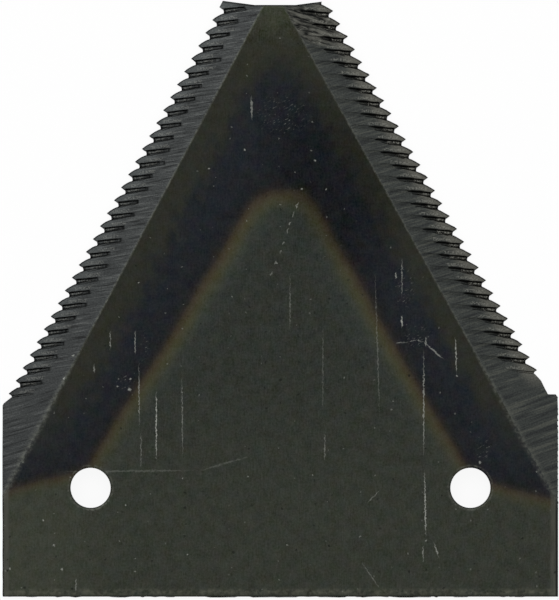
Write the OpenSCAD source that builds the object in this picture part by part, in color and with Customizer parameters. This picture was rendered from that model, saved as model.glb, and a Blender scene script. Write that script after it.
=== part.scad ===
// Mower sickle section: a flat blade with two bevelled, serrated edges running back from a blunt nose.
// The underside lies on z = 0, the origin is midway between the rivet holes, and the nose points along +Y.

/* [Plate] */
// Width across the base, one pitch of the knife bar
base_w = 76.2; // [74:0.1:82]
// Thickness of the plate
thick = 2.5; // [2:0.1:3.5]
// From the hole line to the sheared back edge
back_len = 15; // [10:0.5:20]
// From the hole line to the horns of the nose
nose_len = 66.7; // [58:0.2:74]
// Depth of the hollow between the two horns
nose_dip = 0.6; // [0.2:0.1:1]
// Width of the straight bottom of that hollow
nose_flat = 5.6; // [4:0.2:8]

/* [Rivet holes] */
// Diameter of the rivet holes
hole_d = 5.5; // [4:0.1:7]
// Distance between the rivet holes
hole_gap = 52; // [44:0.5:56]

/* [Left edge] */
// Nose corner, from the centre line
left_nose = 7.9; // [6:0.1:9]
// Heel, where the edge meets the side, from the hole line
left_heel = 11.3; // [8:0.1:14]
// Bevel line at the nose, from the centre line
left_face = 2; // [0.5:0.1:3]
// Bevel line at the side, behind the hole line
left_runout = 1.3; // [0.5:0.1:4]
// First notch, along the edge from the nose corner
left_start = 1; // [-0.5:0.1:2]
// Pitch of the teeth along the edge
left_pitch = 2.01; // [1.6:0.01:3]
// Edge without teeth at the heel
left_plain = 1.5; // [1.5:0.1:8]
// How far that plain edge stands back from the teeth
left_inset = 0.06; // [0.02:0.02:0.4]
// Radius of the long flank of a tooth
left_flank = 4; // [3:0.5:12]
// Length of a groove up the bevel
left_groove = 2.9; // [1.8:0.1:3.8]
// Depth of a groove at its blunt inner end
left_groove_end = 0.12; // [0.02:0.02:0.2]

/* [Right edge] */
// Nose corner, from the centre line
right_nose = 6.4; // [6:0.1:9]
// Heel, where the edge meets the side, from the hole line
right_heel = 10.9; // [8:0.1:14]
// Bevel line at the nose, from the centre line
right_face = 0; // [-0.5:0.1:3]
// Bevel line at the side, behind the hole line
right_runout = 2.2; // [0.5:0.1:4]
// First notch, along the edge from the nose corner
right_start = -0.4; // [-0.5:0.1:2]
// Pitch of the teeth along the edge
right_pitch = 2.02; // [1.6:0.01:3]
// Edge without teeth at the heel
right_plain = 5.5; // [3:0.1:8]
// How far that plain edge stands back from the teeth
right_inset = 0.38; // [0.02:0.02:0.4]
// Radius of the long flank of a tooth
right_flank = 7; // [3:0.5:12]
// Length of a groove up the bevel
right_groove = 3.7; // [1.8:0.1:4.2]
// Depth of a groove where it runs out
right_groove_end = 0.04; // [0.02:0.02:0.2]
// Height of the ledge that the shear left above the heel
ledge_h = 1.9; // [1:0.1:3]
// Cut-off of the ledge's outer corner
ledge_round = 0.4; // [0.1:0.1:0.6]

/* [Cutting edge] */
// Plate left under the bevel at the heel
edge_land = 0.12; // [0.1:0.01:0.3]
// Depth of the notch behind a tooth tip
notch_depth = 0.92; // [0.6:0.02:1.1]
// Flat left on each tooth tip
tip_flat = 0.06; // [0.04:0.01:0.2]
// Depth of the groove where it opens into the notch
groove_depth = 0.3; // [0.2:0.02:0.32]
// Width of the groove at the notch
groove_w = 0.78; // [0.5:0.02:0.9]
// Slant of the groove towards the nose
groove_slant = 34; // [15:1:40]

/* [Hidden] */
$fn = 48;
far = 20;
clear = 1;
half_w = base_w / 2;
// Index 0 is the left edge, 1 the right edge, both worked out as if they were on the left
nose_x = [left_nose, right_nose];
heel_y = [left_heel, right_heel];
face_x = [left_face, right_face];
runout = [left_runout, right_runout];
start = [left_start, right_start];
pitch = [left_pitch, right_pitch];
plain = [left_plain, right_plain];
inset = [left_inset, right_inset];
flank_r = [left_flank, right_flank];
groove_len = [left_groove, right_groove];
groove_end = [left_groove_end, right_groove_end];
shoulder_y = [left_heel, right_heel + ledge_h];

function unit(v) = v / norm(v);
function left_of(v) = [-v.y, v.x];
function turn(v) = atan2(v.y, v.x);

// Cutting edge, from the nose corner to the heel
function edge_run(i) = [nose_x[i] - half_w, heel_y[i] - nose_len];
function edge_point(i, along, in) =
    [-nose_x[i], nose_len] + unit(edge_run(i)) * along + left_of(unit(edge_run(i))) * in;
function notch_count(i) = floor((norm(edge_run(i)) - plain[i] - start[i]) / pitch[i]);
function tip_at(i, k) = start[i] + k * pitch[i];

// Short face of a tooth, from clear of the edge through the tip to where it rounds into the root
function face_top(i) = [0.04 * pitch[i], 0.72 * notch_depth];
function face_foot(i) = -face_top(i) * clear / face_top(i).y;
function face_end(i) = [0.13 * pitch[i], 0.91 * notch_depth];

// Bevel line on the top face, from the nose to the side
function face_run(i) = [face_x[i] - half_w, -runout[i] - nose_len];
function face_off(i, p) = -(p - [-face_x[i], nose_len]) * left_of(unit(face_run(i)));
function bevel_w(i) = face_off(i, [-half_w, heel_y[i]]);
function bevel_slope(i) = (thick - edge_land) / bevel_w(i);
function bevel_z(i, p) = thick - bevel_slope(i) * face_off(i, p);

module on_side(i) {
    if (i == 1) mirror([1, 0, 0]) children();
    else children();
}

// Along the cutting edge from the nose corner, with y pointing into the plate
module on_edge(i) {
    on_side(i) translate([-nose_x[i], nose_len]) rotate(turn(edge_run(i))) children();
}

// Notch between two teeth: a short face, a narrow root and the long rounded flank of the next tooth
module notch_2d(i) {
    root = [0.23 * pitch[i], notch_depth];
    tip = [pitch[i] - tip_flat, 0];
    flank = tip - root;
    flank_back = sqrt(flank_r[i] * flank_r[i] - flank * flank / 4);
    difference() {
        polygon([face_foot(i), face_top(i), face_end(i), root + (root - face_end(i)) / 2,
            [tip.x + tip_flat / 2, notch_depth], [tip.x + tip_flat / 2, -clear]]);
        translate(root + flank / 2 + left_of(unit(flank)) * flank_back) circle(r = flank_r[i], $fn = 96);
    }
}

// Edge left plain between the last tooth and the shoulder
module plain_2d(i) {
    polygon([face_foot(i), face_top(i) * 0.7, face_end(i) * 0.7, [0.75 * pitch[i], 0.65 * inset[i]],
        [2 * pitch[i], inset[i]], [2 * far, inset[i]], [2 * far, -clear]]);
}

// All cuts along one edge; the plain stretch stops at the shoulder
module edge_cuts_2d(i) {
    on_edge(i) for (k = [0 : notch_count(i) - 1]) translate([tip_at(i, k), 0]) notch_2d(i);
    intersection() {
        on_edge(i) translate([tip_at(i, notch_count(i)), 0]) plain_2d(i);
        translate([-base_w, shoulder_y[i]]) square([2 * base_w, nose_len]);
    }
}

module outline_2d() {
    mid = (nose_x[1] - nose_x[0]) / 2;
    ledge_x = half_w - (half_w - nose_x[1]) * ledge_h / (nose_len - heel_y[1]);
    polygon([[-half_w, -back_len], [half_w, -back_len], [half_w, shoulder_y[1] - 0.3 * ledge_h],
        [half_w - ledge_round, shoulder_y[1]], [ledge_x, shoulder_y[1]],
        [nose_x[1], nose_len], [mid + nose_flat / 2, nose_len - nose_dip],
        [mid - nose_flat / 2, nose_len - nose_dip], [-nose_x[0], nose_len], [-half_w, heel_y[0]]]);
}

module plate() {
    linear_extrude(height = thick) difference() {
        outline_2d();
        for (i = [0, 1]) edge_cuts_2d(i);
    }
}

// Everything above one bevel, down to a lip of the edge's own thickness
module bevel_cut(i) {
    drop = thick - edge_land;
    on_side(i) translate([-face_x[i], nose_len, thick]) rotate(turn(face_run(i))) translate([-far, 0, 0])
        rotate([90, 0, 90]) linear_extrude(height = norm(face_run(i)) + 2 * far)
            polygon([[1 / bevel_slope(i), 1], [-bevel_w(i), -drop], [-bevel_w(i) - far, -drop], [-bevel_w(i) - far, 1]]);
}

// Groove that opens into the notch and rises up the bevel to a shallow blunt end
module groove_cut(i, k, size) {
    mouth = [tip_at(i, k) - 0.09 * pitch[i], 0.7 * notch_depth];
    w = groove_w * size;
    d = groove_depth * size;
    rise = d - groove_end[i] * size;
    on_edge(i) translate([mouth.x, mouth.y, bevel_z(i, edge_point(i, mouth.x, mouth.y))])
        rotate([atan(bevel_slope(i)), 0, 0]) rotate(groove_slant) rotate([atan(rise / groove_len[i]), 0, 0])
            translate([0, groove_len[i], 0]) rotate([90, 0, 0]) linear_extrude(height = groove_len[i] + 2)
                polygon([[0, 1], [0, 0], [0.26 * w, -d], [0.64 * w, -0.94 * d], [w, 0], [w, 1]]);
}

module rivet_hole(x) {
    translate([x, 0, -1]) cylinder(d = hole_d, h = thick + 2);
}

module knife_section() {
    color("#33362f") difference() {
        plate();
        for (i = [0, 1]) {
            bevel_cut(i);
            for (k = [0 : notch_count(i) - 1]) groove_cut(i, k, 1);
            groove_cut(i, notch_count(i), 0.5);
        }
        for (x = [-hole_gap / 2, hole_gap / 2]) rivet_hole(x);
    }
}

knife_section();
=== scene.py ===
# Mower sickle section: a hardened steel blade with two ground, serrated edges, lying flat on a white floor.
# Names that end in _mm or _MM, and all lengths in the steel's nodes, are millimetres. All else is metres.
# +Y points at the nose, as in the CAD model.
import math

import bmesh
import bpy
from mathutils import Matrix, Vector


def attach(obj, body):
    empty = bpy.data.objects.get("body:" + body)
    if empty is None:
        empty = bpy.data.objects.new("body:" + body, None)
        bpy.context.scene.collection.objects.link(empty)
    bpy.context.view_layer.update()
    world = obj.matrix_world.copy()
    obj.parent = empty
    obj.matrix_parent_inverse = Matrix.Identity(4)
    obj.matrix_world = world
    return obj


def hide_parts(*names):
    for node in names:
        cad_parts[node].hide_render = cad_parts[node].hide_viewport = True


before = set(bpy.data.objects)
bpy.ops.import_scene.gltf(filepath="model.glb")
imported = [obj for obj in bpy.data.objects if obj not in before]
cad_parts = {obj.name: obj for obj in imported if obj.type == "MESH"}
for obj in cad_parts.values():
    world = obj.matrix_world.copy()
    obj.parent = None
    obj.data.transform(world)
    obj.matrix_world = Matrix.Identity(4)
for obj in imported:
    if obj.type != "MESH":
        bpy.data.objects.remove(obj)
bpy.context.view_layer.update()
scene = bpy.context.scene
scene.view_settings.view_transform = "Standard"

MM = 0.001
THICK_MM = 2.5
HALF_W_MM = 38.1
BACK_MM = -15.0
# Hollow front of the nose: its bottom, the middle and half width of that, and the slope up to the horns
NOSE_DIP_MM = 66.1
NOSE_MIDDLE_MM = -0.75
NOSE_FLAT_MM = 2.8
NOSE_RISE = 0.138
HOLES_MM = ((-26.0, 0.0), (26.0, 0.0))
HOLE_R_MM = 2.75
SIDES = ("left", "right")
# Bevel lines on the top face and lines of the tooth tips, from the nose to the side
CREASE_MM = {"left": ((-2.0, 66.7), (-38.1, -1.3)), "right": ((0.0, 66.7), (38.1, -2.2))}
EDGE_MM = {"left": ((-7.9, 66.7), (-38.1, 11.3)), "right": ((6.4, 66.7), (38.1, 10.9))}
BEVEL_SLOPE = {"left": 0.4027, "right": 0.3754}
# Teeth along an edge: the first one from the nose, their pitch and their number
FIRST_TOOTH_MM = {"left": 1.0, "right": -0.4}
PITCH_MM = {"left": 2.01, "right": 2.02}
TEETH = {"left": 30, "right": 29}
# Grooves: slant towards the nose, distance of the mouth from the edge, and how far it lies before its tooth
# tip, as a share of the pitch; places across a groove count from just above its steep wall
GROOVE_SLANT = math.radians(34)
GROOVE_MOUTH_MM = 0.644
GROOVE_LEAD = 0.09
GROOVE_LEAD_MM = 0.1


def linear(code):
    """A colour written as sRGB hex, as linear RGBA."""
    shares = [int(code[i:i + 2], 16) / 255 for i in (1, 3, 5)]
    return [s / 12.92 if s <= 0.04045 else ((s + 0.055) / 1.055) ** 2.4 for s in shares] + [1.0]


def across(side, lines=CREASE_MM):
    """A point on one side's line and the unit vector from it into the plate, in millimetres."""
    (x0, y0), (x1, y1) = lines[side]
    turn = 1 if side == "left" else -1
    inward = Vector((-(y1 - y0), x1 - x0, 0)).normalized() * turn
    return Vector((x0, y0, 0)), inward


def inside(side, co, lines=CREASE_MM):
    """How far a point lies inside one side's line, in millimetres."""
    start, inward = across(side, lines)
    return (Vector((co.x, co.y, 0)) / MM - start).dot(inward)


def edge_run(side):
    """The nose end of one side's edge and the unit vector along it, in millimetres."""
    start, end = (Vector((*point, 0)) for point in EDGE_MM[side])
    return start, (end - start).normalized()


# Camera, straight down on the top face and far off, so that teeth and top face keep one scale

VIEW_MM = (-0.137, 25.72)
VIEW_WIDTH_MM = 76.54
VIEW_FROM = 2.4
SENSOR_MM = 36

camera = bpy.data.objects.new("camera", bpy.data.cameras.new("camera"))
camera.location = (VIEW_MM[0] * MM, VIEW_MM[1] * MM, VIEW_FROM)
camera.data.sensor_fit = "HORIZONTAL"
camera.data.sensor_width = SENSOR_MM
camera.data.lens = SENSOR_MM * (VIEW_FROM - THICK_MM / 2 * MM) / (VIEW_WIDTH_MM * MM)
camera.data.clip_start = 0.01
scene.collection.objects.link(camera)
scene.camera = camera


# Blade

# How near counts as on the top face, on a rim or off a crease, and as on a strip along one of them
SLACK_MM = 0.02
STRIP_SLACK_MM = 0.03
# Least upward normal of a face that points up at all, and of one that lies flat
UP_NORMAL = 0.05
FLAT_NORMAL = 0.999
# Cuts in the sheared rims, and the length of edge that tells a rim from its corners
BACK_CUTS = 90
BACK_RIM_MM = 10
SIDE_CUTS = 24
SIDE_RIM_MM = 8
# Grid on a bevel: spacing along and across it, how far in from the edge it begins, and its reach before the
# nose, past the heel and inwards
GRID_ALONG_MM = 0.35
GRID_ACROSS_MM = 0.4
GRID_FIRST_MM = 0.1
GRID_BEFORE_MM = 4
GRID_PAST_MM = 16
GRID_INWARD_MM = 8
# How much deeper the grooves get where they are at least so deep already, off the lip of the cutting edge
GROOVE_CUTS_MM = ((0.26, 0.04), (0.2, 0.04), (0.13, 0.03), (0.07, 0.03))
LIP_MM = 0.1
# Width of a groove at the mouth, how much it narrows per millimetre of its length, the width over which its
# wall eases off, and the least depth that counts as a groove
GROOVE_W_MM = 0.88
GROOVE_TAPER = {"left": 0.08, "right": 0.1}
GROOVE_EASE_MM = 0.25
GROOVE_LEAST_MM = 0.01
# Widths of the strips along the rims and creases, how far the shear rolled the start of each over, and the
# wear of the creases
RIM_STRIPS_MM = (0.12, 0.14, 0.12)
RIM_ROLL_MM = ((0.0, 0.2), (0.12, 0.05))
CREASE_WEAR_MM = 0.035
# Ground metal that may waver: within the outermost points, above the lip and below the crease
GROUND_HALF_W_MM = 37.4
GROUND_FRONT_MM = 66
GROUND_LOW_MM = 0.2
GROUND_HIGH_MM = 2.4
# Teeth reach so far in from the edge, and their grooves are at least so deep
TOOTH_REACH_MM = 1.2
TOOTH_GROOVE_MM = 0.03
# Torn metal: reach across the right bevel, hindmost place and lowest height
TORN_ACROSS_MM = (0.6, 8.5)
TORN_BACK_MM = 60.8
TORN_LOW_MM = 0.6


def pick(section, kind, test):
    """Leaves selected only the vertices, edges or faces that pass the test."""
    bpy.ops.mesh.select_mode(type=kind)
    bpy.ops.mesh.select_all(action="DESELECT")
    mesh = bmesh.from_edit_mesh(section.data)
    for part in {"VERT": mesh.verts, "EDGE": mesh.edges, "FACE": mesh.faces}[kind]:
        if test(part):
            part.select_set(True)
    mesh.select_flush_mode()
    bmesh.update_edit_mesh(section.data)


def ripple(section, name, test, axis, depth_mm, grain_mm, middle=0.5):
    """Moves the vertices that pass the test along one axis by cloud noise, as shearing and grinding do."""
    pick(section, "VERT", test)
    section.vertex_groups.new(name=name)
    bpy.ops.object.vertex_group_assign()
    bpy.ops.object.mode_set(mode="OBJECT")
    clouds = bpy.data.textures.new(name, "CLOUDS")
    clouds.noise_scale = grain_mm * MM
    clouds.noise_depth = 2
    wave = section.modifiers.new(name, "DISPLACE")
    wave.texture = clouds
    wave.vertex_group = name
    wave.direction = axis
    wave.strength = depth_mm * MM
    wave.mid_level = middle
    bpy.ops.object.modifier_apply(modifier=wave.name)
    section.vertex_groups.clear()
    bpy.data.textures.remove(clouds)
    bpy.ops.object.mode_set(mode="EDIT")


def lower(depth_mm):
    """Lowers what is selected."""
    bpy.ops.transform.translate(value=(0, 0, -depth_mm * MM))


def merged_copy(node):
    """The CAD plate without its own normals and with its loose triangles joined, in edit mode."""
    bpy.ops.object.select_all(action="DESELECT")
    section = bpy.data.objects.new("sickle_section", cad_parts[node].data.copy())
    section.data.materials.clear()
    scene.collection.objects.link(section)
    bpy.context.view_layer.objects.active = section
    section.select_set(True)
    bpy.ops.mesh.customdata_custom_splitnormals_clear()
    bpy.ops.object.mode_set(mode="EDIT")
    bpy.ops.mesh.select_all(action="SELECT")
    bpy.ops.mesh.remove_doubles(threshold=0.5e-6)
    return section


def back_gap(co):
    return co.y / MM - BACK_MM


def side_gap(co):
    return HALF_W_MM - abs(co.x) / MM


def nose_gap(co):
    return NOSE_DIP_MM - co.y / MM


def hole_gap(co):
    return min(math.hypot(co.x / MM - x, co.y / MM - y) - HOLE_R_MM for x, y in HOLES_MM)


def rim_gap(co):
    """Distance from the nearest sheared or punched rim of the top face, in millimetres."""
    return min(back_gap(co), side_gap(co), nose_gap(co), hole_gap(co))


def on_rim(edge, gap_mm, least_mm):
    """True for a long edge whose ends both lie on the rim from which gap_mm measures."""
    return edge.calc_length() > least_mm * MM and all(abs(gap_mm(v.co)) < SLACK_MM for v in edge.verts)


def on_top(co):
    return co.z > (THICK_MM - SLACK_MM) * MM


def faces_up(vert):
    return any(f.normal.z > UP_NORMAL for f in vert.link_faces)


def bevel_side(co):
    """The side on whose bevel a point lies, or None on the flat."""
    for side in SIDES:
        if inside(side, co) < -SLACK_MM:
            return side
    return None


def groove_depth(co):
    """How far a point lies below the bevel that its groove was cut into, in millimetres."""
    side = bevel_side(co)
    return THICK_MM + BEVEL_SLOPE[side] * inside(side, co) - co.z / MM if side else 0.0


def groove_place(side, co):
    """Where a point lies across its groove and along it, in millimetres."""
    start, run = edge_run(side)
    along = (Vector((co.x, co.y, 0)) / MM - start).dot(run) - FIRST_TOOTH_MM[side]
    inward = inside(side, co, EDGE_MM) - GROOVE_MOUTH_MM
    lean = math.tan(GROOVE_SLANT)
    reach = math.cos(GROOVE_SLANT)
    turn = along + lean * inward + GROOVE_LEAD * PITCH_MM[side] + GROOVE_LEAD_MM / reach
    over = turn % PITCH_MM[side] * reach
    return over, inward / reach - lean * over


def is_ground(vert):
    """True on a bevel and its teeth, but not on the lip, the crease and the outermost points of the plate."""
    return (bevel_side(vert.co) and faces_up(vert) and abs(vert.co.x) < GROUND_HALF_W_MM * MM
            and vert.co.y < GROUND_FRONT_MM * MM and GROUND_LOW_MM * MM < vert.co.z < GROUND_HIGH_MM * MM)


def is_toothed(vert):
    """True on the ground metal of the teeth and their grooves."""
    return is_ground(vert) and (groove_depth(vert.co) > TOOTH_GROOVE_MM
                                or inside(bevel_side(vert.co), vert.co, EDGE_MM) < TOOTH_REACH_MM)


def is_torn(vert):
    """True on the ground metal of the first teeth of the right edge."""
    left_end, right_end = TORN_ACROSS_MM
    return (is_ground(vert) and left_end < vert.co.x / MM < right_end
            and vert.co.y > TORN_BACK_MM * MM and vert.co.z > TORN_LOW_MM * MM)


def grid_bevel(section, side):
    """Cuts one bevel, with its teeth and grooves, into a fine grid."""
    start, inward = across(side, EDGE_MM)
    run = Vector((*EDGE_MM[side][1], 0)) - start
    along = run.normalized()
    lengthwise = int((run.length + GRID_BEFORE_MM + GRID_PAST_MM) / GRID_ALONG_MM)
    crosswise = int(GRID_INWARD_MM / GRID_ACROSS_MM)
    pick(section, "FACE",
         lambda f: inside(side, f.calc_center_median()) < -SLACK_MM and f.normal.z > UP_NORMAL)
    bpy.ops.mesh.hide(unselected=True)
    cuts = [(start + along * (k * GRID_ALONG_MM - GRID_BEFORE_MM), along) for k in range(lengthwise)]
    cuts += [(start + inward * (k * GRID_ACROSS_MM + GRID_FIRST_MM), inward) for k in range(crosswise)]
    for place, square in cuts:
        bpy.ops.mesh.select_all(action="SELECT")
        bpy.ops.mesh.bisect(plane_co=place * MM, plane_no=square, threshold=1e-7)
    bpy.ops.mesh.reveal(select=False)


def taper_grooves(section):
    """Lifts the shallow wall of each groove towards the bevel, so that the groove narrows inwards."""
    mesh = bmesh.from_edit_mesh(section.data)
    for vert in mesh.verts:
        side = bevel_side(vert.co)
        depth = groove_depth(vert.co)
        if not side or depth < GROOVE_LEAST_MM or vert.co.z < LIP_MM / 2 * MM or not faces_up(vert):
            continue
        over, deep = groove_place(side, vert.co)
        limit = GROOVE_W_MM - GROOVE_TAPER[side] * max(deep, 0)
        keep = min(max((limit - over) / GROOVE_EASE_MM, 0), 1)
        vert.co.z += depth * (1 - keep) * MM
    bmesh.update_edit_mesh(section.data)


def keep_back(section):
    """Pulls in what wavers past the back of the plate."""
    mesh = bmesh.from_edit_mesh(section.data)
    for vert in mesh.verts:
        vert.co.y = max(vert.co.y, BACK_MM * MM)
    bmesh.update_edit_mesh(section.data)


def make_section():
    """The dressed blade: a copy of the CAD plate with its rims, grooves, bevels and wear worked in."""
    section = merged_copy("knife_section")
    # Sheared rims, subdivided so that they can waver
    pick(section, "EDGE", lambda e: on_rim(e, back_gap, BACK_RIM_MM))
    bpy.ops.mesh.subdivide(number_cuts=BACK_CUTS)
    pick(section, "EDGE", lambda e: on_rim(e, side_gap, SIDE_RIM_MM))
    bpy.ops.mesh.subdivide(number_cuts=SIDE_CUTS)
    for side in SIDES:
        grid_bevel(section, side)
    # Grooves, cut deeper towards their mouths
    for least, deeper in GROOVE_CUTS_MM:
        pick(section, "VERT", lambda v: faces_up(v) and v.co.z > LIP_MM * MM and groove_depth(v.co) > least)
        lower(deeper)
    taper_grooves(section)
    # Rolled-over rims and worn creases of the top face
    pick(section, "FACE", lambda f: f.normal.z > FLAT_NORMAL and on_top(f.calc_center_median()))
    for width in RIM_STRIPS_MM:
        bpy.ops.mesh.inset(thickness=width * MM, use_even_offset=True, use_boundary=True)
    for gap, drop in RIM_ROLL_MM:
        pick(section, "VERT", lambda v: on_top(v.co) and abs(rim_gap(v.co) - gap) < STRIP_SLACK_MM)
        lower(drop)
    pick(section, "VERT", lambda v: on_top(v.co)
         and min(abs(inside(side, v.co)) for side in SIDES) < STRIP_SLACK_MM)
    lower(CREASE_WEAR_MM)
    # Uneven grinding of the bevels, teeth and grooves, and torn metal on the first teeth of the right edge
    for axis in "XY":
        ripple(section, "grinding", is_toothed, axis, depth_mm=0.16, grain_mm=0.9)
    ripple(section, "grinding", is_ground, "Z", depth_mm=0.03, grain_mm=2.5)
    ripple(section, "torn", is_torn, "Z", depth_mm=0.4, grain_mm=0.5, middle=0.62)
    # Wavering back edge and sides, the right side more than the left
    ripple(section, "back_shear", lambda v: abs(back_gap(v.co)) < SLACK_MM,
           "Y", depth_mm=1.6, grain_mm=2.0, middle=0.39)
    ripple(section, "side_shear", lambda v: abs(side_gap(v.co)) < SLACK_MM and v.co.x < 0,
           "X", depth_mm=0.1, grain_mm=2.0, middle=0.0)
    ripple(section, "side_shear", lambda v: abs(side_gap(v.co)) < SLACK_MM and v.co.x > 0,
           "X", depth_mm=-0.3, grain_mm=2.0, middle=0.0)
    keep_back(section)
    bpy.ops.object.mode_set(mode="OBJECT")
    bpy.ops.object.shade_smooth_by_angle(angle=math.radians(35))
    return section


section = make_section()
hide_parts("knife_section")
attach(section, "root")


# Finishes

def add(tree, kind, *inputs, out=0, named=None, **settings):
    """Adds a node with its settings, feeds its inputs in order or by name, and gives one of its outputs."""
    node = tree.nodes.new("ShaderNode" + kind)
    for name, value in settings.items():
        setattr(node, name, value)
    for socket, value in list(enumerate(inputs)) + list((named or {}).items()):
        if isinstance(value, bpy.types.NodeSocket):
            tree.links.new(value, node.inputs[socket])
        elif value is not None:
            node.inputs[socket].default_value = value
    return node.outputs[out]


# Spring steel, hardened along its edges. The heat left a blue-black band, a straw fringe and a grey-green
# plate. The bevels were ground after that: bare grey steel with grinding marks, and dirt and painted shade in
# the grooves.

# Straw fringe of the hardening beside the arch and behind it, from the middle to the side, the top of the
# arch, and the radii that round the arch, its top and its ends
STRAW_MM = {"left": ((-4.98, 38.0), (-24.26, 6.5)), "right": ((5.47, 38.0), (23.52, 6.5))}
HEEL_MM = {"left": ((-20.0, 4.5), (-38.1, -0.5)), "right": ((20.0, 3.1), (38.1, -1.5))}
STRAW_TOP_MM = 41.25
ARCH_ROUND_MM = 4.8
TOP_ROUND_MM = 5.0
END_ROUND_MM = 1.6
# Heat tints by distance behind the middle of the fringe
HEAT_STOPS_MM = ((-4.0, "#23262a"), (-1.0, "#222427"), (-0.45, "#252525"), (0.0, "#2d2a27"), (0.3, "#38332a"),
                 (0.75, "#403b2e"), (1.3, "#424131"), (1.8, "#3f4033"), (2.4, "#393d35"), (3.2, "#343834"),
                 (4.0, "#323632"), (6.0, "#323530"))
# Olive film: where it ends and is full, inside the crease and along the plate, and how much narrower it is on
# the right; then the two steps in which it gets paler up the nose
FILM_ACROSS_MM = (5.8, 1.6)
FILM_ALONG_MM = (0.0, 16.0)
FILM_RIGHT = 1.3
NOSE_FILM_MM = ((54.5, 60.5, "#303129"), (60.0, 66.5, "#3b3e33"))
# Darkest part of the band, and torn metal with its painted light and shade: centre, radii and turn
DARK_OVAL_MM = ((7.2, 42.2), (17.5, 11.0), math.radians(-61))
TORN_OVAL_MM = ((4.2, 63.3), (5.8, 3.0), math.radians(-28))
# How much further in the right side wavers than the left
SIDE_SHIFT_MM = 0.1
# Height up to which a point counts as the underside, which was never ground
BOTTOM_MM = 0.03
# Patterns: size of a grain along X and Y before it is turned, its angle in degrees, detail and roughness; the
# finest are coarser than the real grit, so that they show in the render
GRAINS_MM = {
    "wander": ((14.0, 14.0), 0, 2, 0.4),
    "film": ((2.2, 3.0), 0, 3, 0.5),
    "rolled": ((0.3, 0.3), 0, 2, 0.7),
    "blotch": ((1.6, 1.6), 0, 3, 0.6),
    "bead": ((0.5, 0.5), 0, 2, 0.5),
    "speckle": ((0.22, 0.22), 0, 1, 0.5),
    "uneven": ((1.7, 1.7), 0, 1, 0.5),
    "scuff": ((0.6, 0.2), 35, 2, 0.6),
    "torn": ((2.6, 0.42), -18, 4, 0.7),
    "drawn": ((0.14, 1.4), 0, 2, 0.6),
    "sheared": ((0.14, 3.0), 0, 2, 0.6),
    "left": ((5.0, 0.26), 10, 3, 0.65),
    "right": ((4.5, 0.4), 17, 3, 0.6),
    "left_fine": ((2.6, 0.15), 8, 1, 0.5),
    "right_fine": ((3.0, 0.15), 15, 1, 0.5),
    "left_heel": ((6.0, 0.32), 17, 3, 0.65),
    "right_heel": ((12.0, 0.65), 20, 3, 0.65),
}
# The patterns hardly change through the plate, so that marks run on over slopes and stand upright on walls
THROUGH_MM = 60.0
# Ground steel in, between and above the grinding marks, and on the teeth
GROUND = {"left": ("#282929", "#3a3c3c", "#4f5150", "#494c4c"),
          "right": ("#343636", "#3f4240", "#4e504b", "#66655e")}
# Contrast of the grinding marks, near the nose and at the heel
MARKED = {"left": (1.1, 1.2), "right": (1.3, 2.5)}
# Scratches: both ends, width and strength
SCRATCHES_MM = (
    ((-23.3, 21.6), (-23.3, 18.7), 0.09, 0.55), ((-19.9, 21.6), (-19.9, 18.1), 0.09, 0.5),
    ((-19.4, 17.4), (-19.3, 7.9), 0.09, 0.4), ((-19.1, 7.9), (-19.1, 2.4), 0.09, 0.25),
    ((-17.0, 13.7), (-17.0, 3.4), 0.10, 0.8), ((-13.5, 15.9), (-13.4, 3.8), 0.09, 0.3),
    ((1.3, 29.8), (1.3, 21.0), 0.09, 0.2), ((6.1, 7.9), (6.0, 3.4), 0.09, 0.3),
    ((5.8, 23.4), (5.8, 9.3), 0.08, 0.15), ((12.9, 30.4), (13.6, 8.6), 0.09, 0.18),
    ((15.8, 29.6), (15.8, 28.6), 0.10, 0.6), ((16.6, 31.7), (16.6, 25.9), 0.09, 0.4),
    ((16.6, 23.7), (16.6, 21.8), 0.12, 0.8), ((19.6, 19.4), (19.6, 3.8), 0.10, 0.5),
    ((19.9, 20.8), (19.9, 19.3), 0.10, 0.5), ((19.7, 2.7), (19.9, -6.9), 0.11, 0.7),
    ((19.5, -7.8), (19.5, -10.2), 0.10, 0.45), ((23.9, 20.8), (24.1, 15.5), 0.11, 0.7),
    ((15.7, 19.8), (17.6, 20.0), 0.09, 0.4), ((17.6, 20.0), (18.6, 20.2), 0.09, 0.4),
    ((18.6, 20.2), (19.6, 20.0), 0.09, 0.4), ((19.6, 20.0), (22.4, 17.5), 0.10, 0.45),
    ((21.0, -7.4), (21.7, -9.7), 0.10, 0.5), ((11.8, -2.2), (13.6, -0.3), 0.09, 0.3),
    ((10.9, -9.9), (13.8, -14.1), 0.09, 0.2), ((-4.0, 53.8), (-3.9, 50.2), 0.16, 0.4),
    ((-28.0, -12.2), (-28.0, -14.5), 0.14, 0.3), ((-30.7, 2.2), (-11.0, 2.4), 0.16, 0.12),
    ((-11.0, 2.4), (-3.9, 4.4), 0.16, 0.12), ((2.4, 39.1), (2.1, 38.3), 0.13, 0.5),
    ((2.0, 37.9), (1.6, 37.0), 0.12, 0.4), ((1.4, 36.5), (1.2, 35.9), 0.13, 0.5),
    ((1.1, 35.6), (0.8, 34.8), 0.11, 0.3), ((0.5, 33.8), (0.3, 33.2), 0.11, 0.35),
    ((0.1, 32.6), (-0.1, 32.0), 0.10, 0.25), ((-0.5, 31.2), (-0.8, 30.5), 0.11, 0.3),
    ((-1.1, 29.7), (-1.4, 28.9), 0.10, 0.25),
    ((-25.5, 17.0), (-25.5, 15.6), 0.10, 0.4))
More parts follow.
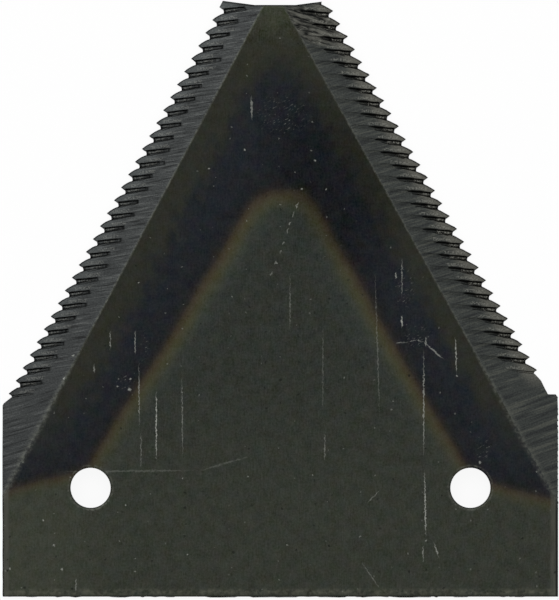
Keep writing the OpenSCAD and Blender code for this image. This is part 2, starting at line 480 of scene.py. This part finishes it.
# Bright specks: small dents that show clean metal, each with its radius
SPECKS_MM = (
    (-9.8, 43.7, 0.16), (4.7, 44.8, 0.2), (-4.9, 46.3, 0.16), (6.2, 40.9, 0.17), (2.9, 40.9, 0.16),
    (-19.4, 28.1, 0.14), (-0.5, 30.8, 0.15), (-31.0, -7.8, 0.2), (-29.9, -11.1, 0.2), (-37.0, -11.0, 0.17),
    (-12.7, -9.1, 0.14), (-13.4, 1.3, 0.15), (-21.2, -2.3, 0.14), (-32.5, -4.4, 0.15), (0.9, -7.8, 0.15),
    (27.3, 3.5, 0.22), (-22.3, 13.9, 0.2), (-20.7, 13.5, 0.28), (-20.5, 14.9, 0.2), (19.9, -7.2, 0.14),
    (24.1, 15.3, 0.16), (-29.6, 15.0, 0.2), (-28.4, 18.1, 0.2))
# Scuffed patches: centre and radii
SCUFFS_MM = (((0.4, 51.0), (5.0, 3.4)), ((27.8, 5.4), (1.6, 2.4)), ((17.0, 27.5), (1.8, 4.0)),
             ((18.8, 20.6), (2.4, 2.0)), ((-21.2, 14.4), (1.8, 1.4)), ((-18.6, 19.5), (0.8, 3.0)))
# Dirt and painted shade in a groove, and on the right painted shade in the valley behind it: middle and half
# width across it at the mouth, how much that moves up per millimetre along the groove, where it begins and
# ends along the groove, and its strength
DIRT_AND_SHADE_MM = {
    "left": (
        (0.2, 0.09, 0.0, -0.4, 2.8, 1.0),
        (0.89, 0.06, 0.1, -0.2, 2.8, 0.85),
        (0.4, 0.24, 0.0, 2.5, 2.8, 0.9)),
    "right": (
        (0.22, 0.12, 0.0, -0.4, 3.4, 1.0),
        (0.36, 0.22, 0.06, 1.4, 3.1, 0.8),
        (0.14, 0.05, 0.0, 3.2, 5.0, 0.7),
        (0.84, 0.07, 0.11, -0.2, 2.8, 0.9),
        (0.5, 0.3, 0.06, -0.2, 1.6, 0.5),
        # painted shade of the valley between two tooth crests, towards the crease
        (0.35, 0.3, 0.0, 3.0, 6.0, 0.25)),
}
# Painted highlights on a groove's floor and on the crest of a tooth, in the same measures
PAINTED_HIGHLIGHT_MM = {
    "left": ((0.52, 0.14, 0.04, 0.1, 1.8, 0.35), (1.45, 0.2, 0.0, -0.5, 1.8, 0.2)),
    "right": ((0.54, 0.16, 0.04, -0.1, 1.5, 0.9), (1.45, 0.18, 0.0, -0.6, 2.2, 0.4)),
}
# Notch between two teeth: depth, shares of the pitch for its root and a tip, and bulge of the long flank
NOTCH_MM = 0.92
ROOT_SHARE = 0.23
TIP_SHARE = 0.03
BULGE_MM = {"left": 0.114, "right": 0.065}
# Tones of what lies on the plate or has been rubbed off it, and of painted shade and highlights
TONE = {
    "film": linear("#2e2f29"),
    "pale": linear("#373a33"),
    "palest": linear("#3d4037"),
    "rubbed_side": linear("#4b4c45"),
    "rubbed_back": linear("#55564b"),
    "rubbed_hole": linear("#54554e"),
    # painted shade on the turned-down rims
    "rim": linear("#1b1c1a"),
    # painted shade and painted highlight of the torn relief
    "torn_shade": linear("#131414"),
    "torn_highlight": linear("#676760"),
    # worn bare metal with a painted highlight, along the creases
    "wear_and_sheen": linear("#565852"),
    "pit": linear("#1d1f1c"),
    "clean": linear("#a3a59e"),
    # dirt with painted shade, for the walls, ends and valleys of the grooves
    "dirt_and_shade": linear("#0b0c0c"),
    # painted highlight on groove floors and tooth crests
    "painted_highlight": linear("#8e8e86"),
    # painted shade along the tooth edges and the front of the nose
    "edge_shade": linear("#161717"),
}
SOFT = {"interpolation_type": "SMOOTHSTEP"}

steel = bpy.data.materials.new("hardened_spring_steel")
steel.use_nodes = True
tree = steel.node_tree
shader = tree.nodes["Principled BSDF"]
shader.inputs["Metallic"].default_value = 1.0

mm = add(tree, "VectorMath", add(tree, "TexCoord", out="Object"), named={"Scale": 1 / MM}, operation="SCALE")
x, y, z = add(tree, "SeparateXYZ", mm).node.outputs
grain = {}
for name, (size, angle, detail, rough) in GRAINS_MM.items():
    turned = add(tree, "Mapping", mm, None, (0, 0, math.radians(angle)), (*size, THROUGH_MM),
                 vector_type="TEXTURE")
    settings = {"Vector": turned, "Scale": 1.0, "Detail": detail, "Roughness": rough}
    grain[name] = add(tree, "TexNoise", named=settings)


def from_line(side, lines):
    """Signed distance inside one side's line."""
    start, inward = across(side, lines)
    offset = add(tree, "VectorMath", mm, start, operation="SUBTRACT")
    return add(tree, "VectorMath", offset, inward, out="Value", operation="DOT_PRODUCT")


def band(value, middle, half, soft):
    """One inside a band of values, easing to zero outside it."""
    away = add(tree, "Math", value, middle, operation="SUBTRACT")
    away = add(tree, "Math", away, operation="ABSOLUTE")
    return add(tree, "MapRange", away, half + soft, half - soft, **SOFT)


def oval(at, centre, radii, turn=0.0):
    """One in the middle of an oval on the top face, falling evenly to zero at its rim."""
    size = (*radii, 2 * THICK_MM)
    local = add(tree, "Mapping", at, (*centre, THICK_MM), (0, 0, turn), size, vector_type="TEXTURE")
    return add(tree, "TexGradient", local, out="Fac", gradient_type="SPHERICAL")


# Heat tints of the flat
crease = {side: from_line(side, CREASE_MM) for side in SIDES}
straw = {side: from_line(side, STRAW_MM) for side in SIDES}
heel = {side: from_line(side, HEEL_MM) for side in SIDES}
edge = {side: from_line(side, EDGE_MM) for side in SIDES}
flat = add(tree, "Math", crease["left"], crease["right"], operation="MINIMUM")
arch = add(tree, "Math", straw["left"], straw["right"], ARCH_ROUND_MM, operation="SMOOTH_MIN")
below_top = add(tree, "Math", STRAW_TOP_MM, y, operation="SUBTRACT")
arch = add(tree, "Math", arch, below_top, TOP_ROUND_MM, operation="SMOOTH_MIN")
behind = add(tree, "Math", heel["left"], heel["right"], operation="MINIMUM")
heat = add(tree, "Math", arch, behind, END_ROUND_MM, operation="SMOOTH_MAX")
wander = add(tree, "MapRange", grain["wander"], 0.3, 0.7, -0.2, 0.2, **SOFT)
heat = add(tree, "Math", heat, wander)
lowest, highest = HEAT_STOPS_MM[0][0], HEAT_STOPS_MM[-1][0]
tints = add(tree, "ValToRGB", add(tree, "MapRange", heat, lowest, highest)).node
for at, _ in HEAT_STOPS_MM[1:-1]:
    tints.color_ramp.elements.new((at - lowest) / (highest - lowest))
for stop, (_, code) in zip(tints.color_ramp.elements, HEAT_STOPS_MM):
    stop.color = linear(code)
colour = tints.outputs["Color"]

# Olive film along the creases and towards the nose
uneven = add(tree, "MapRange", grain["film"], 0.3, 0.7, -1.0, 1.0, **SOFT)
near = add(tree, "Math", crease["right"], FILM_RIGHT, operation="MULTIPLY")
near = add(tree, "Math", crease["left"], near, operation="MINIMUM")
film = add(tree, "MapRange", add(tree, "Math", near, uneven), *FILM_ACROSS_MM, **SOFT)
film = add(tree, "Math", film, add(tree, "MapRange", y, *FILM_ALONG_MM, **SOFT), operation="MULTIPLY")
colour = add(tree, "MixRGB", film, colour, TONE["film"])
up_nose = add(tree, "Math", y, uneven)
for begins, full, code in NOSE_FILM_MM:
    colour = add(tree, "MixRGB", add(tree, "MapRange", up_nose, begins, full, **SOFT), colour, linear(code))
# The band is darkest above and to the right of the arch
dark = add(tree, "MapRange", oval(mm, *DARK_OVAL_MM), 0.0, 0.7, 1.0, 0.64, **SOFT)
colour = add(tree, "MixRGB", 1.0, colour, dark, blend_type="MULTIPLY")
# Plate behind the arch, a little paler towards the back and its left corner
pale = add(tree, "MapRange", y, 20.0, -6.0, **SOFT)
pale = add(tree, "Math", pale, add(tree, "MapRange", heat, 0.0, 3.0, **SOFT), operation="MULTIPLY")
colour = add(tree, "MixRGB", pale, colour, TONE["pale"])
pale = add(tree, "Math", pale, add(tree, "MapRange", x, -20.0, -34.0, **SOFT), operation="MULTIPLY")
colour = add(tree, "MixRGB", pale, colour, TONE["palest"])

# Grain, blotches and drawn streaks of the rolled surface, fainter in the dark band and strongest at the nose
tone = 0.0
for name, amount in (("rolled", 0.012), ("blotch", 0.007), ("drawn", 0.008)):
    tone = add(tree, "Math", tone, add(tree, "MapRange", grain[name], 0.2, 0.8, -amount, amount))
mottled = add(tree, "MapRange", y, 56.0, 65.0, 0.0, 1.4, **SOFT)
mottled = add(tree, "Math", mottled, add(tree, "MapRange", heat, -1.0, 2.0, 0.5, 1.0), operation="MAXIMUM")
tone = add(tree, "Math", tone, mottled, operation="MULTIPLY")
colour = add(tree, "MixRGB", 1.0, colour, tone, blend_type="ADD")
# Patches of another hue, about 1.5 mm across
hues = add(tree, "TexNoise", named={"Vector": mm, "Scale": 1 / 1.5, "Detail": 2.0}, out="Color")
hues = add(tree, "VectorMath", hues, (0.5, 0.5, 0.5), operation="SUBTRACT")
hues = add(tree, "VectorMath", hues, (0.010, 0.008, 0.011), operation="MULTIPLY")
colour = add(tree, "MixRGB", 1.0, colour, hues, blend_type="ADD")

# Rubbed strips along the sides and the back, and a broken ring round each hole
from_side = add(tree, "Math", add(tree, "Math", x, SIDE_SHIFT_MM), operation="ABSOLUTE")
from_side = add(tree, "Math", HALF_W_MM - SIDE_SHIFT_MM, from_side, operation="SUBTRACT")
streaks = add(tree, "MapRange", grain["sheared"], 0.3, 0.65, 0.35, 1.0)
side_strip = add(tree, "MapRange", from_side, 1.15, 0.7, **SOFT)
side_strip = add(tree, "Math", side_strip, streaks, operation="MULTIPLY")
colour = add(tree, "MixRGB", side_strip, colour, TONE["rubbed_side"])
from_back = add(tree, "Math", y, BACK_MM, operation="SUBTRACT")
patchy = add(tree, "MapRange", add(tree, "Math", grain["bead"], grain["blotch"]), 0.85, 1.3)
back_strip = add(tree, "Math", band(from_back, 0.75, 0.35, 0.35), patchy, operation="MULTIPLY")
colour = add(tree, "MixRGB", back_strip, colour, TONE["rubbed_back"])
off_hole = add(tree, "Math", x, operation="ABSOLUTE")
off_hole = add(tree, "Math", off_hole, HOLES_MM[1][0], operation="SUBTRACT")
off_hole = add(tree, "VectorMath", add(tree, "CombineXYZ", off_hole, y, 0.0), out="Value", operation="LENGTH")
broken = add(tree, "MapRange", grain["bead"], 0.4, 0.65)
ring = add(tree, "Math", band(off_hole, HOLE_R_MM + 0.3, 0.1, 0.12), broken, operation="MULTIPLY")
colour = add(tree, "MixRGB", ring, colour, TONE["rubbed_hole"])
# Painted shade on the rims that the shear turned down
rim = add(tree, "Math", from_side, from_back, operation="MINIMUM")
rim = add(tree, "MapRange", rim, 0.34, 0.16, 0.0, 0.85, **SOFT)
colour = add(tree, "MixRGB", rim, colour, TONE["rim"])

# Bare ground steel of the bevels
off_bottom = add(tree, "Math", z, BOTTOM_MM, operation="GREATER_THAN")
on_bevel = {}
for side in SIDES:
    beyond = add(tree, "Math", crease[side], 0.0, operation="LESS_THAN")
    on_bevel[side] = add(tree, "Math", beyond, off_bottom, operation="MULTIPLY")
to_heel = add(tree, "MapRange", y, 22.0, 10.0, **SOFT)
off_heel = add(tree, "MapRange", y, 13.0, 16.0, **SOFT)
speckle = add(tree, "MapRange", grain["speckle"], 0.2, 0.8, 0.7, 1.3)
gain = add(tree, "MapRange", y, 5.0, 60.0, 0.95, 1.06)
gain = add(tree, "Math", gain, speckle, operation="MULTIPLY")
for side in SIDES:
    in_marks, between, above, on_teeth = (linear(code) for code in GROUND[side])
    marks = add(tree, "MapRange", grain[side + "_fine"], 0.2, 0.8, -0.2, 0.2)
    marks = add(tree, "Math", grain[side], marks)
    marks = add(tree, "Mix", to_heel, named={2: marks, 3: grain[side + "_heel"]})
    marks = add(tree, "Math", marks, 0.5, operation="SUBTRACT")
    contrast = add(tree, "MapRange", to_heel, 0.0, 1.0, *MARKED[side])
    marks = add(tree, "Math", marks, contrast, 0.5, operation="MULTIPLY_ADD")
    metal = add(tree, "MixRGB", add(tree, "MapRange", marks, 0.26, 0.5, **SOFT), in_marks, between)
    metal = add(tree, "MixRGB", add(tree, "MapRange", marks, 0.52, 0.76, **SOFT), metal, above)
    tooth = add(tree, "MapRange", edge[side], 2.8, 1.2, 0.0, 0.75, **SOFT)
    tooth = add(tree, "Math", tooth, off_heel, operation="MULTIPLY")
    metal = add(tree, "MixRGB", tooth, metal, on_teeth)
    metal = add(tree, "MixRGB", 1.0, metal, gain, blend_type="MULTIPLY")
    colour = add(tree, "MixRGB", on_bevel[side], colour, metal)
# Torn metal on the first teeth of the right edge, with painted shade and painted highlights for its relief
torn = add(tree, "MapRange", oval(mm, *TORN_OVAL_MM), 0.1, 0.4, 0.0, 0.9, **SOFT)
torn = add(tree, "Math", torn, on_bevel["right"], operation="MULTIPLY")
torn_light_and_shade = add(tree, "MapRange", grain["torn"], 0.4, 0.62, **SOFT)
torn_light_and_shade = add(tree, "MixRGB", torn_light_and_shade, TONE["torn_shade"], TONE["torn_highlight"])
colour = add(tree, "MixRGB", torn, colour, torn_light_and_shade)

# Worn crease, bare metal with a painted highlight along it, wider towards the heel
wear_w = add(tree, "MapRange", y, 20.0, 8.0, 0.2, 0.8)
wear_and_sheen = add(tree, "MapRange", add(tree, "Math", flat, operation="ABSOLUTE"), wear_w, 0.04, **SOFT)
beads = add(tree, "MapRange", grain["bead"], 0.4, 0.7, 0.15, 0.75, **SOFT)
wear_and_sheen = add(tree, "Math", wear_and_sheen, beads, operation="MULTIPLY")
wear_and_sheen = add(tree, "Math", wear_and_sheen, off_bottom, operation="MULTIPLY")
colour = add(tree, "MixRGB", wear_and_sheen, colour, TONE["wear_and_sheen"])

# Scratches, dents and scuffs, which show clean metal and have ragged outlines, and dark pits
ragged = add(tree, "TexNoise", named={"Vector": mm, "Scale": 1 / 0.35, "Detail": 1.0}, out="Color")
ragged = add(tree, "VectorMath", ragged, (0.5, 0.5, 0.5), operation="SUBTRACT")
ragged = add(tree, "VectorMath", ragged, (0.4, 0.4, 0.0), mm, operation="MULTIPLY_ADD")
on_flat = add(tree, "Math", flat, 0.0, operation="GREATER_THAN")
scuffed = 0.0
for centre, radii in SCUFFS_MM:
    scuffed = add(tree, "Math", scuffed, oval(mm, centre, radii), operation="MAXIMUM")
scuffed = add(tree, "MapRange", scuffed, 0.0, 0.6, 0.0, 0.28, **SOFT)
scuffed = add(tree, "Math", scuffed, add(tree, "MapRange", grain["scuff"], 0.6, 0.74), operation="MULTIPLY")
# One dent or pit at most in each cell of 2.2 mm
cells = add(tree, "TexVoronoi", named={"Vector": ragged, "Scale": 1 / 2.2}, voronoi_dimensions="2D")
cells = cells.node.outputs
chance = add(tree, "SeparateXYZ", cells["Color"]).node.outputs
spot = add(tree, "Math", chance["Y"], -0.04, cells["Distance"], operation="MULTIPLY_ADD")
dent = add(tree, "MapRange", spot, 0.03, 0.0)
dent = add(tree, "Math", dent, add(tree, "MapRange", chance["X"], 0.7, 1.0, 0.0, 0.35), operation="MULTIPLY")
pit = add(tree, "MapRange", spot, 0.06, 0.02)
pit = add(tree, "Math", pit, add(tree, "MapRange", chance["X"], 0.45, 0.0, 0.0, 0.8), operation="MULTIPLY")
pit = add(tree, "Math", pit, on_flat, operation="MULTIPLY")
colour = add(tree, "MixRGB", pit, colour, TONE["pit"])
bare = add(tree, "Math", scuffed, dent, operation="MAXIMUM")
bare = add(tree, "Math", bare, on_flat, operation="MULTIPLY")
scratched = 0.0
for (x0, y0), (x1, y1), width, strength in SCRATCHES_MM:
    centre = ((x0 + x1) / 2, (y0 + y1) / 2)
    radii = (math.hypot(x1 - x0, y1 - y0) / 2, width)
    mark = oval(ragged, centre, radii, math.atan2(y1 - y0, x1 - x0))
    mark = add(tree, "MapRange", mark, 0.0, 0.4, 0.0, strength)
    scratched = add(tree, "Math", scratched, mark, operation="MAXIMUM")
breaks = add(tree, "MapRange", grain["bead"], 0.36, 0.52, 0.35, 1.0, **SOFT)
scratched = add(tree, "Math", scratched, breaks, operation="MULTIPLY")
bare = add(tree, "Math", bare, scratched, operation="MAXIMUM")
for x0, y0, radius in SPECKS_MM:
    mark = add(tree, "Math", oval(ragged, (x0, y0), (radius, radius)), 0.8, operation="MULTIPLY")
    bare = add(tree, "Math", bare, mark, operation="MAXIMUM")
bare = add(tree, "Math", bare, off_bottom, operation="MULTIPLY")
colour = add(tree, "MixRGB", bare, colour, TONE["clean"])

# Dirt and painted shade along the walls, in the ends of the grooves and, on the right, in the valleys behind
# them; painted highlights on their floors and on the crests of the teeth
lean = math.tan(GROOVE_SLANT)
reach = math.cos(GROOVE_SLANT)
shaky = add(tree, "MapRange", grain["uneven"], 0.2, 0.8, -0.5, 0.5)
grainy = add(tree, "MapRange", grain["speckle"], 0.42, 0.62)
for side in SIDES:
    first, pitch, count = FIRST_TOOTH_MM[side], PITCH_MM[side], TEETH[side]
    start, run = edge_run(side)
    offset = add(tree, "VectorMath", mm, start, operation="SUBTRACT")
    along = add(tree, "VectorMath", offset, run, out="Value", operation="DOT_PRODUCT")
    begin = GROOVE_LEAD_MM / reach - lean * GROOVE_MOUTH_MM - first + GROOVE_LEAD * pitch
    turn = add(tree, "Math", edge[side], lean, along, operation="MULTIPLY_ADD")
    turn = add(tree, "Math", turn, 1 / pitch, begin / pitch, operation="MULTIPLY_ADD")
    toothed = band(turn, count / 2, count / 2, 0.02)
    toothed = add(tree, "Math", toothed, on_bevel[side], operation="MULTIPLY")
    over = add(tree, "Math", add(tree, "Math", turn, operation="FRACT"), pitch * reach, operation="MULTIPLY")
    deep = add(tree, "Math", edge[side], 1 / reach, -GROOVE_MOUTH_MM / reach, operation="MULTIPLY_ADD")
    deep = add(tree, "Math", over, -lean, deep, operation="MULTIPLY_ADD")
    # The dirt, painted shade and painted highlights differ a little from groove to groove
    number = add(tree, "Math", turn, operation="FLOOR")
    own = add(tree, "TexWhiteNoise", named={"W": number}, noise_dimensions="1D")
    own = add(tree, "MapRange", own, 0.0, 1.0, -0.45, 0.45)
    deep = add(tree, "Math", add(tree, "Math", deep, shaky), own)
    over = add(tree, "Math", shaky, 0.14, over, operation="MULTIPLY_ADD")
    for patches, name, texture in ((DIRT_AND_SHADE_MM[side], "dirt_and_shade", 1.0), (PAINTED_HIGHLIGHT_MM[side], "painted_highlight", grainy)):
        cover = 0.0
        for middle, half, narrowing, mouth, end, strength in patches:
            drawn = add(tree, "Math", deep, narrowing, over, operation="MULTIPLY_ADD")
            patch = add(tree, "Math", band(drawn, middle, half, 0.05), strength, operation="MULTIPLY")
            lengthwise = band(deep, (mouth + end) / 2, (end - mouth) / 2, 0.2)
            patch = add(tree, "Math", patch, lengthwise, operation="MULTIPLY")
            cover = add(tree, "Math", cover, patch, operation="MAXIMUM")
        cover = add(tree, "Math", cover, texture, operation="MULTIPLY")
        cover = add(tree, "Math", cover, toothed, operation="MULTIPLY")
        colour = add(tree, "MixRGB", cover, colour, TONE[name])
    # Painted shade along the long flank and the short face of each tooth
    tip = add(tree, "Math", along, 1 / pitch, -first / pitch, operation="MULTIPLY_ADD")
    tip = add(tree, "Math", tip, operation="FRACT")
    share = add(tree, "MapRange", tip, ROOT_SHARE, 1 - TIP_SHARE)
    rest = add(tree, "Math", 1.0, share, operation="SUBTRACT")
    bulge = add(tree, "Math", share, -4 * BULGE_MM[side], NOTCH_MM, operation="MULTIPLY_ADD")
    flank = add(tree, "Math", rest, bulge, operation="MULTIPLY")
    flank = add(tree, "Math", edge[side], flank, operation="SUBTRACT")
    flank = add(tree, "MapRange", flank, 0.26, 0.14, **SOFT)
    face = add(tree, "MapRange", tip, 1 - 0.14 / pitch, 1 - 0.05 / pitch, **SOFT)
    face = add(tree, "Math", face, add(tree, "MapRange", edge[side], 0.85, 0.7), operation="MULTIPLY")
    edge_shade = add(tree, "Math", flank, face, operation="MAXIMUM")
    edge_shade = add(tree, "Math", edge_shade, toothed, operation="MULTIPLY")
    edge_shade = add(tree, "Math", edge_shade, 0.8, operation="MULTIPLY")
    colour = add(tree, "MixRGB", edge_shade, colour, TONE["edge_shade"])
# Painted shade along the front of the nose, which is hollow between its horns
hollow = add(tree, "Math", x, NOSE_MIDDLE_MM, operation="SUBTRACT")
hollow = add(tree, "Math", hollow, operation="ABSOLUTE")
hollow = add(tree, "Math", hollow, NOSE_FLAT_MM, operation="SUBTRACT")
hollow = add(tree, "Math", hollow, 0.0, operation="MAXIMUM")
hollow = add(tree, "Math", hollow, NOSE_RISE, NOSE_DIP_MM, operation="MULTIPLY_ADD")
nose_shade = add(tree, "Math", hollow, y, operation="SUBTRACT")
nose_shade = add(tree, "MapRange", nose_shade, 0.3, 0.12, 0.0, 0.8, **SOFT)
colour = add(tree, "MixRGB", nose_shade, colour, TONE["edge_shade"])

tree.links.new(colour, shader.inputs["Base Color"])
roughness = add(tree, "MapRange", grain["blotch"], 0.3, 0.7, 0.36, 0.48)
tree.links.new(roughness, shader.inputs["Roughness"])
# The grinding marks are deeper than the grain of the flat
deeper = add(tree, "MapRange", flat, 0.0, -0.2, 0.0, 1.5)
height = add(tree, "Math", grain["left"], deeper, grain["rolled"], operation="MULTIPLY_ADD")
bump = add(tree, "Bump", named={"Height": height, "Distance": 0.02 * MM, "Strength": 0.4})
tree.links.new(bump, shader.inputs["Normal"])
section.data.materials.append(steel)


# Floor and light

bpy.ops.object.select_all(action="DESELECT")
bpy.ops.mesh.primitive_plane_add(size=6, location=(0, 0, -0.05 * MM))
floor = bpy.context.object
floor.name = "floor"
# White paper: it renders white where it is seen, directly or in the steel, and keeps a faint shadow
WHITE_SHARE = 0.9
paper = bpy.data.materials.new("white_paper")
paper.use_nodes = True
paper_tree = paper.node_tree
matt = paper_tree.nodes["Principled BSDF"]
matt.inputs["Base Color"].default_value = linear("#f2f2f2")
matt.inputs["Roughness"].default_value = 0.9
rays = add(paper_tree, "LightPath").node.outputs
seen = add(paper_tree, "Math", rays["Is Camera Ray"], rays["Is Glossy Ray"], operation="MAXIMUM")
seen = add(paper_tree, "Math", seen, rays["Is Transmission Ray"], operation="MAXIMUM")
seen = add(paper_tree, "Math", seen, WHITE_SHARE, operation="MULTIPLY")
white = add(paper_tree, "Emission", (1, 1, 1, 1), 1.0)
sheet = add(paper_tree, "MixShader", seen, matt.outputs["BSDF"], white)
paper_tree.links.new(sheet, paper_tree.nodes["Material Output"].inputs["Surface"])
floor.data.materials.append(paper)

scene.world = bpy.data.worlds.new("studio")
scene.world.use_nodes = True
sky = scene.world.node_tree.nodes["Background"]
sky.inputs["Color"].default_value = (1, 1, 1, 1)
sky.inputs["Strength"].default_value = 0.8

# Large softbox beyond the nose and to the left, aimed at the middle of the blade
BLADE_MIDDLE = Vector((0, 0.025, 0))
lamp = bpy.data.objects.new("key_softbox", bpy.data.lights.new("key_softbox", "AREA"))
lamp.data.shape = "RECTANGLE"
lamp.data.size = 1.2
lamp.data.size_y = 0.8
lamp.data.energy = 5.5
lamp.location = (-0.25, 0.75, 0.95)
lamp.rotation_euler = (BLADE_MIDDLE - lamp.location).to_track_quat("-Z", "Y").to_euler()
scene.collection.objects.link(lamp)
